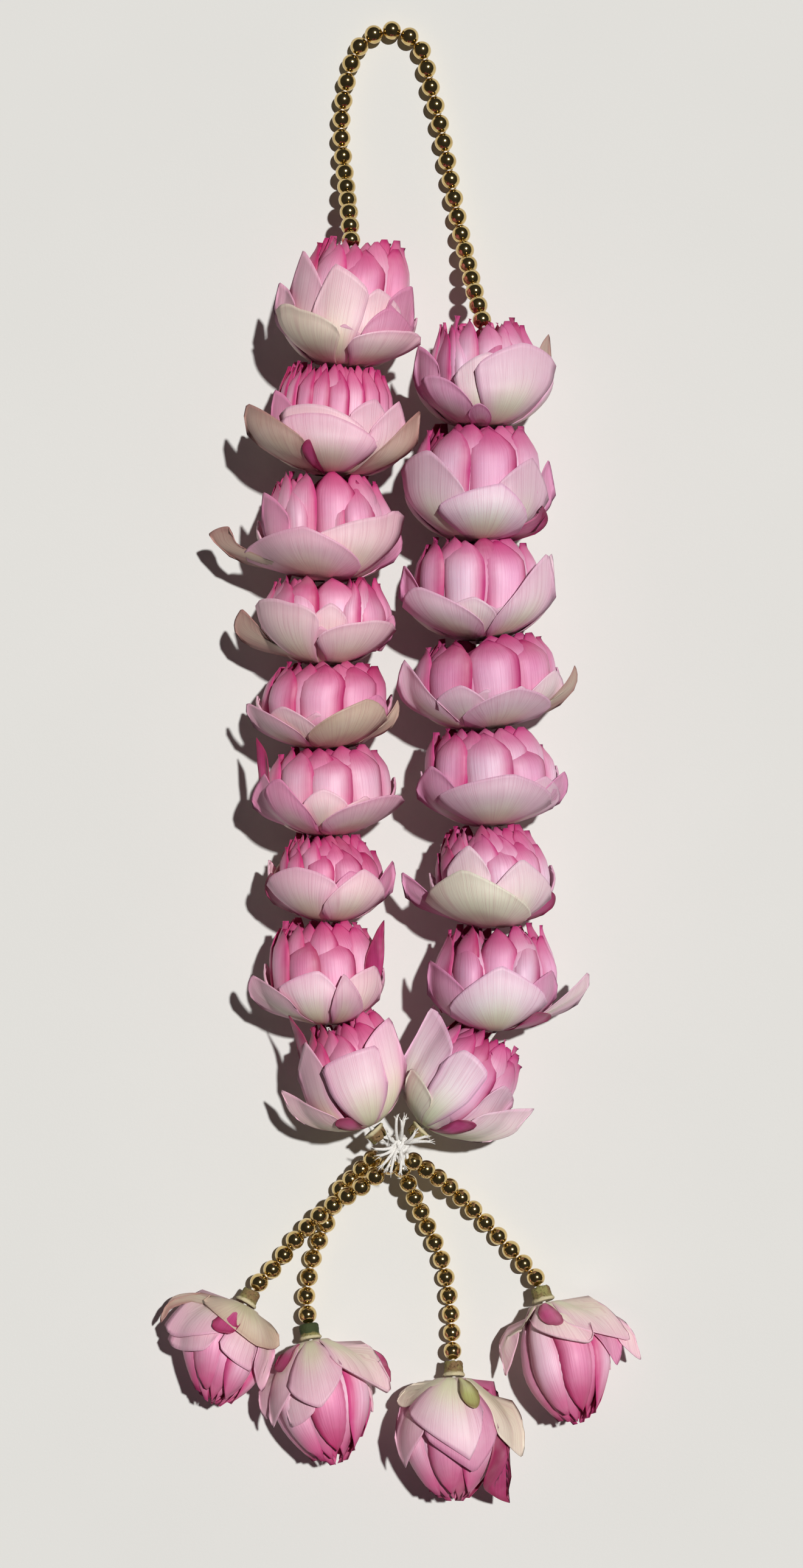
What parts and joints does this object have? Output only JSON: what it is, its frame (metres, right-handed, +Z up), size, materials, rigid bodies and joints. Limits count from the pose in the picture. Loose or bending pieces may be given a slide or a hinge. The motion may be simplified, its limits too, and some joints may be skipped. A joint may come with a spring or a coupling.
{
  "type": "lotus garland",
  "caption": "Garland of folded lotus blooms threaded on parallel strands, with a bead loop above and bead strings below that end in hanging blooms.",
  "frame": {"origin": "middle of the garland's footprint, on the surface that it lies on", "axes": "+Y from the hanging blooms to the bead loop, +X from the left strand to the right strand, +Z up from the surface"},
  "size_m": [0.2062, 0.6216, 0.0602],
  "materials": {
    "lotus_pink": "satin",
    "dry_stem": "matte",
    "gold_bead": "polished",
    "white_cotton": "matte"
  },
  "bodies": {
    "root": {"bead_loop": "gold_bead", "bead_string_1": "gold_bead", "bead_string_2": "gold_bead", "bead_string_3": "gold_bead", "bead_string_4": "gold_bead", "bloom_left_1": "lotus_pink", "bloom_left_2": "lotus_pink", "bloom_left_3": "lotus_pink", "bloom_left_4": "lotus_pink", "bloom_left_5": "lotus_pink", "bloom_left_6": "lotus_pink", "bloom_left_7": "lotus_pink", "bloom_left_8": "lotus_pink", "bloom_left_9": "lotus_pink", "bloom_right_1": "lotus_pink", "bloom_right_2": "lotus_pink", "bloom_right_3": "lotus_pink", "bloom_right_4": "lotus_pink", "bloom_right_5": "lotus_pink", "bloom_right_6": "lotus_pink", "bloom_right_7": "lotus_pink", "bloom_right_8": "lotus_pink", "knot": "white_cotton", "stub_left": "dry_stem", "stub_right": "dry_stem", "stub_tassel_1": "dry_stem", "stub_tassel_2": "dry_stem", "stub_tassel_3": "dry_stem", "stub_tassel_4": "dry_stem", "tassel_bloom_1": "lotus_pink", "tassel_bloom_2": "lotus_pink", "tassel_bloom_3": "lotus_pink", "tassel_bloom_4": "lotus_pink", "thread_left": "white_cotton", "thread_right": "white_cotton"}
  },
  "joints": []
}
